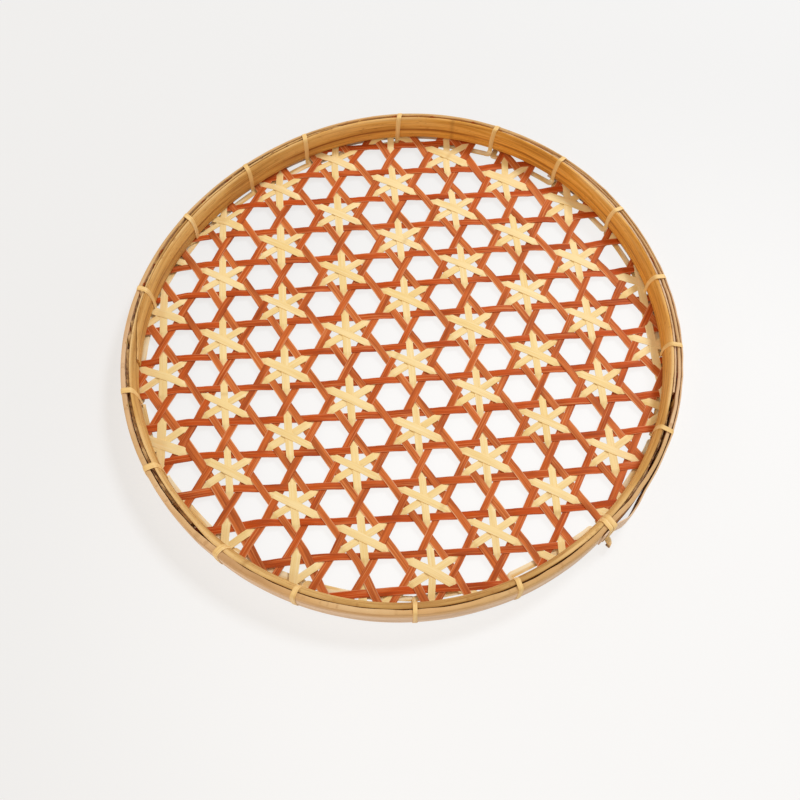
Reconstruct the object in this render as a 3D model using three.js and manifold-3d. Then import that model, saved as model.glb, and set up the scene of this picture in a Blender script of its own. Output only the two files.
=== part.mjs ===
// Woven wall basket: a round, shallow tray of split bamboo, in millimetres with +Z up.
// Red strips in three directions weave an open mat of hexagons. Natural strips in three more
// directions cross every third hexagon as a six-pointed star, and dive under the red crossings
// between the stars. Two hoops with lapped ends nip the edge of the mat, and one strand of peel
// lashes them together. The origin is under the tray's middle, on the surface that it lies on.
import * as THREE from 'three';
import Module from 'manifold-3d';
import { mergeVertices } from 'three/addons/utils/BufferGeometryUtils.js';

// Rim
const RIM_DIAMETER = 352;
const RIM_HEIGHT = 22;
const OUTER_HOOP_THICKNESS = 4;
const INNER_HOOP_THICKNESS = 4;
const HOOP_GAP = 1.2;
const HOOP_FACETS = 48;
const HOOP_EDGE_WIDTH = 0.5;
const HOOP_EDGE_HEIGHT = 2;
// Laps: where the inner end lies, in degrees, and how many facets the two ends share
const OUTER_LAP_ANGLE = 48.75;
const OUTER_LAP_FACETS = 13;
const INNER_LAP_ANGLE = 183.75;
const INNER_LAP_FACETS = 11;
const LAP_TIP = 1.2;
// Mat
const ROW_COUNT = 14.5;
const MIDDLE_STAR_X = 4.4;
const MIDDLE_STAR_Y = -11;
const RED_WIDTH = 4.1;
const SPLINT_THICKNESS = 0.7;
const DIVE_LENGTH = 2.2;
// Lashing: where its turns go, in degrees, clockwise from the near right, where it starts and ends
const TIE_ANGLES = [
  -53, -72, -92, -114, -134, -156, -176, -195, -215,
  -235, -250, -278, -296, -313, -331, -350, -367, -386,
];
const LASH_WIDTH = 2.6;
const LASH_THICKNESS = 0.5;
// Between pieces that rest on each other
const CLEARANCE = 0.3;

// Radii of the rim, from outside to inside
const outerRadius = RIM_DIAMETER / 2;
const pocketRadius = outerRadius - OUTER_HOOP_THICKNESS;
const innerHoopRadius = pocketRadius - HOOP_GAP - INNER_HOOP_THICKNESS;
const facetAngle = 2 * Math.PI / HOOP_FACETS;
const flatShare = Math.cos(facetAngle / 2);
const matRadius = pocketRadius * flatShare - CLEARANCE;

// Where the lashing goes up and down, and how far apart the two legs of one turn are
const strandLow = LASH_THICKNESS / 2;
const strandHigh = RIM_HEIGHT + CLEARANCE + LASH_THICKNESS / 2;
const outerLegRadius = outerRadius + CLEARANCE + LASH_THICKNESS / 2;
const innerLegRadius = innerHoopRadius * flatShare - CLEARANCE - LASH_THICKNESS / 2;
const runRadius = innerLegRadius - LASH_WIDTH;
const turnShift = LASH_WIDTH + 2 * CLEARANCE;

// Weave cell: spacing of parallel red strips, and distance between crossings along one strip
const redPitch = 2 * innerHoopRadius / ROW_COUNT;
const redStep = redPitch / Math.sqrt(3);
const starPitch = 2 * redPitch;

// A natural strip is as wide as the triangle between three red strips lets it dive through
const triangleBase = (redPitch - RED_WIDTH) / 2;
const naturalWidth = 2 * (triangleBase - RED_WIDTH - DIVE_LENGTH) / Math.sqrt(3);
const diveEnd = triangleBase - DIVE_LENGTH;
const overLength = (redPitch + RED_WIDTH) / 2;

// Heights of the strips' middles, measured from the middle of the mat
const layerStep = SPLINT_THICKNESS + CLEARANCE;
const redHeight = layerStep / 2 / (1 - Math.sqrt(3) * RED_WIDTH / redStep);
const overHeight = redHeight * naturalWidth / redStep + layerStep;
const underHeight = -redHeight - layerStep;
const crossingReach = naturalWidth * Math.sqrt(3) / 2;
const topHeight = overHeight + layerStep / (1 - crossingReach / overLength);
const matHeight = LASH_THICKNESS + CLEARANCE + SPLINT_THICKNESS / 2 - underHeight;
const outerHoopFoot = LASH_THICKNESS + CLEARANCE;
const innerHoopFoot = matHeight + topHeight + SPLINT_THICKNESS / 2 + CLEARANCE;

const bamboo = (color) => new THREE.MeshStandardMaterial({ color, roughness: 0.55, metalness: 0 });
const redBamboo = bamboo(0xb84a2c);
const naturalBamboo = bamboo(0xf0d595);
const hoopBamboo = bamboo(0xc8934a);
const lashingPeel = bamboo(0xe4c586);

const basket = new THREE.Group();
const middleStar = new THREE.Vector2(MIDDLE_STAR_X, MIDDLE_STAR_Y);
const alongOf = (angle) => new THREE.Vector2(Math.cos(angle), Math.sin(angle));
const acrossOf = (angle) => new THREE.Vector2(-Math.sin(angle), Math.cos(angle));

function addPiece(name, geometry, material) {
  const mesh = new THREE.Mesh(geometry, material);
  mesh.name = name;
  basket.add(mesh);
  return mesh;
}

// Strips

// Offsets from the tray's middle of all parallel strips that leave the lashing room at the wall.
function rowOffsets(first, spacing, width) {
  const limit = innerLegRadius - (LASH_WIDTH + width) / 2;
  const rows = [];
  for (let row = Math.ceil((-limit - first) / spacing); first + row * spacing < limit; row++) {
    rows.push({ row, offset: first + row * spacing });
  }
  return rows;
}

// Half the length of a strip whose square ends stay inside the outer hoop.
function reachOf(offset, width) {
  const edge = Math.abs(offset) + width / 2;
  return Math.sqrt(matRadius ** 2 - edge ** 2);
}

// The middle line of a strip between its two ends, from a line of knots that runs past both.
function clipLine(knots, reach) {
  const heightAt = (x) => {
    const next = knots.findIndex((knot) => knot.x > x);
    const [before, after] = [knots[next - 1], knots[next]];
    return THREE.MathUtils.mapLinear(x, before.x, after.x, before.y, after.y);
  };
  const kept = knots.filter((knot) => Math.abs(knot.x) < reach - CLEARANCE / 4);
  return [
    new THREE.Vector2(-reach, heightAt(-reach)),
    ...kept,
    new THREE.Vector2(reach, heightAt(reach)),
  ];
}

// A strip lying along X: its side view, extruded across its width.
function stripGeometry(line, width) {
  const half = SPLINT_THICKNESS / 2;
  const lower = line.map((point) => new THREE.Vector2(point.x, point.y - half));
  const upper = line.map((point) => new THREE.Vector2(point.x, point.y + half));
  const sideView = new THREE.Shape([...lower, ...upper.reverse()]);
  const geometry = new THREE.ExtrudeGeometry(sideView, { depth: width, bevelEnabled: false });
  return geometry.translate(0, 0, -width / 2).rotateX(Math.PI / 2);
}

function placeStrip(object, strip) {
  const foot = acrossOf(strip.angle).multiplyScalar(strip.offset);
  object.position.set(foot.x, foot.y, matHeight);
  object.rotation.z = strip.angle;
}

// Red strips go over the next direction and under the one before, in turn at every crossing.
function redKnots(angle, offset, reach) {
  const nextFirst = middleStar.dot(acrossOf(angle + Math.PI / 3)) + redPitch / 2;
  const overAt = (offset / 2 - nextFirst) / Math.sin(Math.PI / 3);
  const firstKnot = Math.floor((-reach - overAt) / redStep);
  const lastKnot = Math.ceil((reach - overAt) / redStep);
  const knots = [];
  for (let knot = firstKnot; knot <= lastKnot; knot++) {
    knots.push(new THREE.Vector2(overAt + knot * redStep, knot % 2 === 0 ? redHeight : -redHeight));
  }
  return knots;
}

function redStrips() {
  const directions = ['across', 'rising', 'falling'];
  return directions.flatMap((direction, index) => {
    const angle = index * Math.PI / 3;
    const first = middleStar.dot(acrossOf(angle)) + redPitch / 2;
    return rowOffsets(first, redPitch, RED_WIDTH).map(({ offset }, count) => {
      const reach = reachOf(offset, RED_WIDTH);
      const line = clipLine(redKnots(angle, offset, reach), reach);
      return { name: `red_${direction}_${count + 1}`, angle, offset, width: RED_WIDTH, line };
    });
  });
}

// Natural strips bridge a star from edge to edge and run under the red crossing to the next star.
function naturalKnots(starAt, starHeight, reach) {
  const firstStar = Math.floor((-reach - starAt) / starPitch);
  const lastStar = Math.ceil((reach - starAt) / starPitch);
  const knots = [];
  for (let star = firstStar; star <= lastStar; star++) {
    const middle = starAt + star * starPitch;
    knots.push(new THREE.Vector2(middle - redPitch + diveEnd, underHeight));
    knots.push(new THREE.Vector2(middle - overLength, overHeight));
    if (starHeight !== overHeight) {
      knots.push(new THREE.Vector2(middle, starHeight));
    }
    knots.push(new THREE.Vector2(middle + overLength, overHeight));
    knots.push(new THREE.Vector2(middle + redPitch - diveEnd, underHeight));
  }
  return knots;
}

function naturalStrips(name, angle, starHeight) {
  const first = middleStar.dot(acrossOf(angle));
  return rowOffsets(first, redPitch * Math.sqrt(3), naturalWidth).map(({ row, offset }, count) => {
    const reach = reachOf(offset, naturalWidth);
    const starAt = middleStar.dot(alongOf(angle)) + row * redPitch;
    const line = clipLine(naturalKnots(starAt, starHeight, reach), reach);
    return { name: `${name}_${count + 1}`, angle, offset, width: naturalWidth, line };
  });
}

// Joining

const wasm = await Module();
wasm.setup();

function toSolid(geometry) {
  const plain = geometry.clone();
  plain.deleteAttribute('normal');
  plain.deleteAttribute('uv');
  const merged = mergeVertices(plain, 1e-4);
  return new wasm.Manifold(new wasm.Mesh({
    numProp: 3,
    vertProperties: merged.attributes.position.array,
    triVerts: new Uint32Array(merged.index.array),
  }));
}

function join(geometries) {
  const solid = geometries.map(toSolid).reduce((joined, next) => joined.add(next));
  const { vertProperties, triVerts } = solid.getMesh();
  const geometry = new THREE.BufferGeometry();
  geometry.setAttribute('position', new THREE.BufferAttribute(vertProperties, 3));
  geometry.setIndex(new THREE.BufferAttribute(triVerts, 1));
  geometry.computeVertexNormals();
  return geometry;
}

function placedGeometry(strip) {
  const holder = new THREE.Object3D();
  placeStrip(holder, strip);
  holder.updateMatrix();
  return stripGeometry(strip.line, strip.width).applyMatrix4(holder.matrix);
}

// Hoops

// Plan of a bent band whose two ends are shaved to long wedges that lie on each other.
function hoopPlan(innerRadius, thickness, lapStart, lapFacets) {
  const slit = CLEARANCE / innerRadius / facetAngle;
  const wedge = thickness - 2 * LAP_TIP - CLEARANCE;
  const lapRadius = (facet) => innerRadius + LAP_TIP + wedge * facet / lapFacets;
  const at = (facet, radius) => {
    const angle = THREE.MathUtils.degToRad(lapStart) - facet * facetAngle;
    return alongOf(angle).multiplyScalar(radius);
  };
  const points = [];
  for (let facet = 0; facet <= lapFacets; facet++) {
    points.push(at(facet, lapRadius(facet)));
  }
  points.push(at(lapFacets + slit, lapRadius(lapFacets)));
  points.push(at(lapFacets + slit, innerRadius + thickness));
  for (let facet = lapFacets + 1; facet <= HOOP_FACETS + lapFacets; facet++) {
    points.push(at(facet, innerRadius + thickness));
  }
  for (let facet = lapFacets; facet >= 0; facet--) {
    points.push(at(facet, lapRadius(facet) + CLEARANCE));
  }
  points.push(at(HOOP_FACETS - slit, innerRadius + LAP_TIP + CLEARANCE));
  for (let facet = HOOP_FACETS - slit; facet >= 0; facet = Math.ceil(facet) - 1) {
    points.push(at(facet, innerRadius));
  }
  return new THREE.Shape(points);
}

function hoopGeometry(plan, foot) {
  const geometry = new THREE.ExtrudeGeometry(plan, {
    depth: RIM_HEIGHT - foot - 2 * HOOP_EDGE_HEIGHT,
    bevelThickness: HOOP_EDGE_HEIGHT,
    bevelSize: HOOP_EDGE_WIDTH,
    bevelOffset: -HOOP_EDGE_WIDTH,
    bevelSegments: 1,
  });
  return geometry.translate(0, 0, foot + HOOP_EDGE_HEIGHT);
}

// Lashing

// A turn's inner leg goes down through the mat, so it moves along the rim to the nearest opening.
function openAngle(wanted, strips, ways) {
  const blocked = (angle) => strips.some((strip) => {
    const outward = alongOf(angle).dot(acrossOf(strip.angle));
    const sideways = acrossOf(angle).dot(acrossOf(strip.angle));
    const legReach = (LASH_THICKNESS * Math.abs(outward) + LASH_WIDTH * Math.abs(sideways)) / 2;
    const distance = Math.abs(innerLegRadius * outward - strip.offset);
    return distance < strip.width / 2 + legReach + CLEARANCE;
  });
  const nudge = CLEARANCE / innerLegRadius;
  let open;
  for (let step = 0; open === undefined; step++) {
    const angles = ways.map((way) => wanted + way * step * nudge);
    open = angles.find((angle) => !blocked(angle));
  }
  return open;
}

// Clockwise round the rim, with one more turn beside the first.
function turnAngles(strips) {
  const wanted = TIE_ANGLES.map(THREE.MathUtils.degToRad);
  const angles = wanted.map((angle) => openAngle(angle, strips, [1, -1]));
  const beside = angles[0] - 2 * Math.PI + 2 * turnShift / innerLegRadius;
  return [...angles, openAngle(beside, strips, [1])];
}

// One turn of the flat strand: up the inner face, over both hoops, down the outer face and back
// under them. Each bend has its place, half its width and half its thickness, both mitred.
function turnBends(angle, sign) {
  const out = new THREE.Vector3(Math.cos(angle), Math.sin(angle), 0);
  const on = new THREE.Vector3(Math.sin(angle), -Math.cos(angle), 0);
  const up = new THREE.Vector3(0, 0, 1);
  const bend = (radius, shift, z, side, face) => ({
    point: out.clone().multiplyScalar(radius).addScaledVector(on, shift).setZ(z),
    side: side.multiplyScalar(sign * LASH_WIDTH / 2),
    face: face.multiplyScalar(sign * LASH_THICKNESS / 2),
  });
  const back = () => on.clone().negate();
  return [
    bend(runRadius, 0, strandLow, out.clone().sub(on), up.clone()),
    bend(innerLegRadius, 0, strandLow, back(), up.clone().sub(out)),
    bend(innerLegRadius, 0, strandHigh, back(), up.clone().sub(out)),
    bend(outerLegRadius, turnShift, strandHigh, back(), up.clone().add(out)),
    bend(outerLegRadius, turnShift, strandLow, back(), out.clone().sub(up)),
    bend(runRadius, turnShift, strandLow, back().sub(out), up.clone().negate()),
  ];
}

// The strand turns over at each turn, so its two faces change places from one turn to the next.
function strandBends(angles) {
  return angles.flatMap((angle, turn) => turnBends(angle, turn % 2 === 0 ? 1 : -1));
}

function strandGeometry(bends) {
  const corners = bends.flatMap(({ point, side, face }) => [
    point.clone().add(side).add(face),
    point.clone().sub(side).add(face),
    point.clone().sub(side).sub(face),
    point.clone().add(side).sub(face),
  ]);
  const last = corners.length - 4;
  const index = [0, 2, 1, 0, 3, 2, last, last + 1, last + 2, last, last + 2, last + 3];
  for (let ring = 0; ring < last; ring += 4) {
    for (let corner = 0; corner < 4; corner++) {
      const here = ring + corner;
      const beside = ring + (corner + 1) % 4;
      index.push(here, beside + 4, here + 4, here, beside, beside + 4);
    }
  }
  const geometry = new THREE.BufferGeometry().setFromPoints(corners);
  geometry.setIndex(index);
  geometry.computeVertexNormals();
  return geometry;
}

// Least gap between parts of the strand that lie more than one width apart along it.
function leastGap(bends) {
  const path = new THREE.CurvePath();
  for (let bend = 1; bend < bends.length; bend++) {
    path.add(new THREE.LineCurve3(bends[bend - 1].point, bends[bend].point));
  }
  const length = path.getLength();
  const points = path.getSpacedPoints(Math.ceil(length / LASH_WIDTH) * 2);
  const apart = Math.ceil(3 * turnShift / length * points.length);
  let least = Infinity;
  points.forEach((point, first) => {
    for (let second = first + apart; second < points.length; second++) {
      least = Math.min(least, point.distanceTo(points[second]));
    }
  });
  return least - LASH_WIDTH;
}

// Assembly: the natural strips of the two lower directions rest on each other at every star and
// are joined there, so that the mat keeps to a workable number of pieces.
const red = redStrips();
const naturalLow = naturalStrips('natural_low', Math.PI / 6, overHeight - SPLINT_THICKNESS / 2);
const naturalMiddle = naturalStrips('natural_middle', Math.PI / 2, overHeight);
const naturalTop = naturalStrips('natural_top', 5 * Math.PI / 6, topHeight);

for (const strip of red) {
  placeStrip(addPiece(strip.name, stripGeometry(strip.line, strip.width), redBamboo), strip);
}
for (const strip of naturalTop) {
  placeStrip(addPiece(strip.name, stripGeometry(strip.line, strip.width), naturalBamboo), strip);
}
addPiece('natural_net', join([...naturalLow, ...naturalMiddle].map(placedGeometry)), naturalBamboo);

const innerPlan = hoopPlan(innerHoopRadius, INNER_HOOP_THICKNESS, INNER_LAP_ANGLE, INNER_LAP_FACETS);
const outerPlan = hoopPlan(pocketRadius, OUTER_HOOP_THICKNESS, OUTER_LAP_ANGLE, OUTER_LAP_FACETS);
addPiece('inner_hoop', hoopGeometry(innerPlan, innerHoopFoot), hoopBamboo);
addPiece('outer_hoop', hoopGeometry(outerPlan, outerHoopFoot), hoopBamboo);

const lashing = strandBends(turnAngles([...red, ...naturalLow, ...naturalMiddle, ...naturalTop]));
addPiece('rim_lashing', strandGeometry(lashing), lashingPeel);
console.log(`least gap of the lashing to itself: ${leastGap(lashing).toFixed(2)} mm`);

export default basket;
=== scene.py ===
import math
import random

import bmesh
import bpy
from mathutils import Matrix, Vector, noise


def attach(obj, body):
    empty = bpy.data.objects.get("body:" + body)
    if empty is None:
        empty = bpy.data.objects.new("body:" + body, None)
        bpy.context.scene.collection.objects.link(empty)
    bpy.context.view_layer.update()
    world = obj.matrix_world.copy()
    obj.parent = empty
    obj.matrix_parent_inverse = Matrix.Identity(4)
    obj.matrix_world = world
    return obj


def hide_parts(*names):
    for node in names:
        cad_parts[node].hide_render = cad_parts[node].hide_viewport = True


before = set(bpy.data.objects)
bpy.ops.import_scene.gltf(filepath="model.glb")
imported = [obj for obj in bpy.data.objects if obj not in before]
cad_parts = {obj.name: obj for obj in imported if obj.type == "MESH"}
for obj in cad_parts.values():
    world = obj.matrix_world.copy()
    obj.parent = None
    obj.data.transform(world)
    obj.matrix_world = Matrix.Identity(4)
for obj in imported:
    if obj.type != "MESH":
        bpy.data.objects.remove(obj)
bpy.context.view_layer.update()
print("frame loaded,", len(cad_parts), "nodes")


def unit(degrees):
    return Vector((math.cos(math.radians(degrees)), math.sin(math.radians(degrees)), 0.0))


def ease(low, high, value):
    # from 0 at low to 1 at high, whichever is the larger
    t = min(max((value - low) / (high - low), 0.0), 1.0)
    return t * t * (3 - 2 * t)


def blendTo(first, second, share):
    return first + (second - first) * share


def wander(seed, place):
    return noise.noise(Vector((place, seed * 7.31, 0.37)))   # slow, between -1 and 1, the same on every run


def heading(point):
    return math.degrees(math.atan2(point.y, point.x))


def aroundRim(table, angle):
    # reads a table that goes by degrees round the rim
    angle %= 360
    places = sorted(table)
    for place, following in zip(places, places[1:] + [places[0] + 360]):
        if place <= angle <= following:
            return blendTo(table[place], table[following % 360], ease(place, following, angle))
    return table[places[0]]


# the rim was sprung by hand and is a little out of round
rim = {
    "allRound": -0.22,
    "waves": ((0.22, -1.24), (0.08, 1.78), (-1.00, -0.60), (0.36, -0.39)),   # cosine and sine, for one to four waves
}


def rimShift(angle):
    turn = math.radians(angle)
    waves = enumerate(rim["waves"], 1)
    return sum(c * math.cos(k * turn) + s * math.sin(k * turn) for k, (c, s) in waves) + rim["allRound"]


# materials

def toLinear(hexColour):
    parts = [int(hexColour[i:i + 2], 16) / 255 for i in (1, 3, 5)]
    return [p / 12.92 if p <= 0.04045 else ((p + 0.055) / 1.055) ** 2.4 for p in parts] + [1.0]


def addNode(tree, kind, values=None, links=None, **settings):
    node = tree.nodes.new(kind)
    for key, value in settings.items():
        setattr(node, key, value)
    for socket, value in (values or {}).items():
        node.inputs[socket].default_value = value
    for socket, source in (links or {}).items():
        tree.links.new(source, node.inputs[socket])
    return node


# Split bamboo shows long fibres, slow changes of colour along a length and paler cut edges. Every mesh carries
# its own mm along and across the fibre, how far a place is pale, as cut edge and in places as painted light, and a
# tone that is partly random and partly painted light and shade. Real fibres are about 0.3 mm across, too fine to show
# here, so they are drawn about three times as coarse.
grain = {
    "fibreLength": 45.0, "fibreDetail": 3.0, "fibreRough": 0.6,
    "patchDetail": 2.0, "patchRough": 0.5, "patchStart": (7.3, 2.1, 0.0),
    # levels of the noise between which each of these comes in
    "patchFrom": (0.45, 0.70), "darkFrom": (0.48, 0.66), "paleFrom": (0.45, 0.30), "edgeFrom": (0.58, 0.42),
    "speckFrom": (0.60, 0.72), "grooveShadeFrom": (0.3, 0.6),
    "speckSize": (5.0, 1.3), "speckDetail": 2.0, "speckRough": 0.6, "speckStart": (3.1, 5.7, 0.0),
    "ringWidth": (2.2, 0.2), "ringMix": 0.4,
    "sway": 4.0, "swayLength": 60.0, "swayDetail": 2.0, "grooveShadeWidth": (1.5, 0.2), "grooveShadeMix": (0.15, 0.9),
    "dullness": (-0.08, 0.14), "bumpStrength": 0.6, "ior": 1.5,
}
# bamboo dyed red: dull and uneven, from brick to orange, with the raw cane showing on the cut edges; part of the
# change from brick to orange and of the edges' brightness is painted sheen, set by a strip's direction
redDye = {
    "name": "dyedBamboo", "base": "#d6773a", "other": "#c85012", "dark": "#8d3d1b", "light": "#eba267",
    "edge": "#f6c69a", "edgeMix": 1.0, "fibre": 0.8, "fibreMix": 0.55, "paleMix": 0.65,
    "patch": 30.0, "patchAcross": 5.0, "patchMix": 0.6, "rough": 0.5, "shine": 0.12, "bump": 0.05,
}
# undyed bamboo: pale straw with a soft sheen, and a faint ring where the cane had a node
naturalPeel = {
    "name": "naturalBamboo", "base": "#fde4ab", "other": "#f8da96", "dark": "#edc980", "light": "#fff0cb",
    "edge": "#f5d999", "edgeMix": 0.35, "fibre": 0.8, "fibreMix": 0.4, "paleMix": 0.5,
    "patch": 55.0, "patchAcross": 6.0, "patchMix": 0.6, "rough": 0.5, "shine": 0.3, "bump": 0.04,
    "ringEvery": 310.0, "ringColour": "#d1a866",
}
# aged bamboo, split and scraped: honey brown and matt, with bruises and one dark line along the band, painted shade of
# its shallow groove
innerGold = {
    # the bright base is partly painted light, for the walls that face away from the lamps
    "name": "agedBambooInside", "base": "#f6b048", "other": "#dab06a", "dark": "#96551b", "light": "#f0c274",
    "edge": "#ecc486", "edgeMix": 0.85, "fibre": 0.9, "fibreMix": 0.5, "paleMix": 0.5,
    "patch": 70.0, "patchAcross": 6.0, "patchMix": 0.5, "rough": 0.66, "shine": 0.18, "bump": 0.08,
    "speck": 0.45, "ringEvery": 290.0, "ringColour": "#a06a30", "grooveShadeAt": 13.0,
}
# aged bamboo, skin side out: paler tan and matt, with broad quiet fibres
outerSkin = {
    "name": "agedBambooSkin", "base": "#e4b67c", "other": "#f4d6b8", "dark": "#a8784a", "light": "#eccfa2",
    "edge": "#cfa56c", "edgeMix": 0.7, "fibre": 1.1, "fibreMix": 0.4, "paleMix": 0.4,
    "patch": 70.0, "patchAcross": 6.0, "patchMix": 0.35, "rough": 0.66, "shine": 0.18, "bump": 0.06,
    "speck": 0.4, "ringEvery": 290.0, "ringColour": "#b58a58",
}
# torn bamboo: rough, and patchy from straw to dark brown
tornFibre = {
    "name": "tornBambooFibre", "base": "#a5784b", "other": "#c79c66", "dark": "#5d3424", "light": "#d9b684",
    "edge": "#d2ab74", "edgeMix": 0.6, "fibre": 0.9, "fibreMix": 0.8, "paleMix": 0.7,
    "patch": 9.0, "patchAcross": 6.0, "patchMix": 0.9, "rough": 0.7, "shine": 0.2, "bump": 0.10,
    "speck": 0.3,
}
# rattan peel: smooth and light yellow with a little gloss; its other colour is the dark brown of the cut tip, painted
# shadow of the tail's curled end
lashPeel = {
    "name": "rattanPeel", "base": "#f8d08a", "other": "#6d4527", "dark": "#dcae64", "light": "#ffe8b8",
    "edge": "#fdebc4", "edgeMix": 0.9, "fibre": 0.7, "fibreMix": 0.5, "paleMix": 0.6,
    "patch": 25.0, "patchAcross": 4.0, "patchMix": 0.5, "rough": 0.46, "shine": 0.3, "bump": 0.04,
}
mixShare, mixFirst, mixSecond, mixColour = 0, 6, 7, 2   # sockets of a Mix node that mixes colours


def splitBamboo(look):
    material = bpy.data.materials.new(look["name"])
    material.use_nodes = True
    tree = material.node_tree
    shader = tree.nodes["Principled BSDF"]
    along = addNode(tree, "ShaderNodeAttribute", attribute_name="along")
    across = addNode(tree, "ShaderNodeAttribute", attribute_name="across")
    edge = addNode(tree, "ShaderNodeAttribute", attribute_name="cutEdgeAndLight")
    toneAndLight = addNode(tree, "ShaderNodeAttribute", attribute_name="toneAndLight")
    place = addNode(tree, "ShaderNodeCombineXYZ", links={"X": along.outputs["Fac"], "Y": across.outputs["Fac"]})
    # fibres: fine across, drawn out along the strip
    fibrePlace = addNode(tree, "ShaderNodeMapping", {"Scale": (1 / grain["fibreLength"], 1 / look["fibre"], 1)},
                         {"Vector": place.outputs["Vector"]})
    fibre = addNode(tree, "ShaderNodeTexNoise",
                    {"Scale": 1.0, "Detail": grain["fibreDetail"], "Roughness": grain["fibreRough"]},
                    {"Vector": fibrePlace.outputs["Vector"]})
    patchPlace = addNode(tree, "ShaderNodeMapping",
                         {"Scale": (1 / look["patch"], 1 / look["patchAcross"], 1), "Location": grain["patchStart"]},
                         {"Vector": place.outputs["Vector"]})
    patch = addNode(tree, "ShaderNodeTexNoise",
                    {"Scale": 1.0, "Detail": grain["patchDetail"], "Roughness": grain["patchRough"]},
                    {"Vector": patchPlace.outputs["Vector"]})
    low, high = grain["patchFrom"]
    patchShare = addNode(tree, "ShaderNodeMapRange", {"From Min": low, "From Max": high, "To Max": look["patchMix"]},
                         {"Value": patch.outputs["Fac"]})
    low, high = grain["darkFrom"]
    darkShare = addNode(tree, "ShaderNodeMapRange", {"From Min": low, "From Max": high, "To Max": look["fibreMix"]},
                        {"Value": fibre.outputs["Fac"]})
    low, high = grain["paleFrom"]
    paleShare = addNode(tree, "ShaderNodeMapRange", {"From Min": low, "From Max": high, "To Max": look["paleMix"]},
                        {"Value": fibre.outputs["Fac"]})
    stock = addNode(tree, "ShaderNodeMix", {mixFirst: toLinear(look["base"]), mixSecond: toLinear(look["other"])},
                    {mixShare: toneAndLight.outputs["Fac"]}, data_type="RGBA")
    toned = addNode(tree, "ShaderNodeMix", {mixSecond: toLinear(look["dark"])},
                    {mixShare: patchShare.outputs["Result"], mixFirst: stock.outputs[mixColour]}, data_type="RGBA")
    fibrous = addNode(tree, "ShaderNodeMix", {mixSecond: toLinear(look["dark"])},
                      {mixShare: darkShare.outputs["Result"], mixFirst: toned.outputs[mixColour]}, data_type="RGBA")
    streaked = addNode(tree, "ShaderNodeMix", {mixSecond: toLinear(look["light"])},
                       {mixShare: paleShare.outputs["Result"], mixFirst: fibrous.outputs[mixColour]},
                       data_type="RGBA")
    # the pale cut edge, and the painted light that shares its colour, comes and goes along the strip
    low, high = grain["edgeFrom"]
    edgeWear = addNode(tree, "ShaderNodeMapRange", {"From Min": low, "From Max": high, "To Max": look["edgeMix"]},
                       {"Value": patch.outputs["Fac"]})
    edgeShare = addNode(tree, "ShaderNodeMath", links={0: edge.outputs["Fac"], 1: edgeWear.outputs["Result"]},
                        operation="MULTIPLY")
    colour = addNode(tree, "ShaderNodeMix", {mixSecond: toLinear(look["edge"])},
                     {mixShare: edgeShare.outputs["Value"], mixFirst: streaked.outputs[mixColour]}, data_type="RGBA")
    if "speck" in look:
        # small dark specks of dirt and bruises, longer along the fibre
        length, width = grain["speckSize"]
        speckPlace = addNode(tree, "ShaderNodeMapping",
                             {"Scale": (1 / length, 1 / width, 1), "Location": grain["speckStart"]},
                             {"Vector": place.outputs["Vector"]})
        speck = addNode(tree, "ShaderNodeTexNoise",
                        {"Scale": 1.0, "Detail": grain["speckDetail"], "Roughness": grain["speckRough"]},
                        {"Vector": speckPlace.outputs["Vector"]})
        low, high = grain["speckFrom"]
        speckShare = addNode(tree, "ShaderNodeMapRange", {"From Min": low, "From Max": high, "To Max": look["speck"]},
                             {"Value": speck.outputs["Fac"]})
        colour = addNode(tree, "ShaderNodeMix", {mixSecond: toLinear(look["dark"])},
                         {mixShare: speckShare.outputs["Result"], mixFirst: colour.outputs[mixColour]},
                         data_type="RGBA")
    if "ringEvery" in look:
        # a line across, where the cane had a node
        away = addNode(tree, "ShaderNodeMath", {1: look["ringEvery"]}, {0: along.outputs["Fac"]}, operation="PINGPONG")
        far, near = grain["ringWidth"]
        ring = addNode(tree, "ShaderNodeMapRange", {"From Min": far, "From Max": near, "To Max": grain["ringMix"]},
                       {"Value": away.outputs["Value"]})
        colour = addNode(tree, "ShaderNodeMix", {mixSecond: toLinear(look["ringColour"])},
                         {mixShare: ring.outputs["Result"], mixFirst: colour.outputs[mixColour]}, data_type="RGBA")
    if "grooveShadeAt" in look:
        # one dark line runs along the band, a little up and down: painted shade of the shallow groove there
        swayPlace = addNode(tree, "ShaderNodeMapping", {"Scale": (1 / grain["swayLength"], 0, 0)},
                            {"Vector": place.outputs["Vector"]})
        sway = addNode(tree, "ShaderNodeTexNoise", {"Scale": 1.0, "Detail": grain["swayDetail"]},
                       {"Vector": swayPlace.outputs["Vector"]})
        height = addNode(tree, "ShaderNodeMath", {1: grain["sway"]},
                         {0: sway.outputs["Fac"], 2: across.outputs["Fac"]}, operation="MULTIPLY_ADD")
        apart = addNode(tree, "ShaderNodeMath", {1: look["grooveShadeAt"] + grain["sway"] / 2},
                        {0: height.outputs["Value"]}, operation="SUBTRACT")
        away = addNode(tree, "ShaderNodeMath", links={0: apart.outputs["Value"]}, operation="ABSOLUTE")
        far, near = grain["grooveShadeWidth"]
        grooveShade = addNode(tree, "ShaderNodeMapRange", {"From Min": far, "From Max": near},
                       {"Value": away.outputs["Value"]})
        low, high = grain["grooveShadeFrom"]
        faint, plain = grain["grooveShadeMix"]
        present = addNode(tree, "ShaderNodeMapRange",
                          {"From Min": low, "From Max": high, "To Min": faint, "To Max": plain},
                          {"Value": patch.outputs["Fac"]})
        grooveShadeShare = addNode(tree, "ShaderNodeMath", links={0: grooveShade.outputs["Result"], 1: present.outputs["Result"]},
                            operation="MULTIPLY")
        colour = addNode(tree, "ShaderNodeMix", {mixSecond: toLinear(look["dark"])},
                         {mixShare: grooveShadeShare.outputs["Value"], mixFirst: colour.outputs[mixColour]},
                         data_type="RGBA")
    smoother, duller = grain["dullness"]
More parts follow.
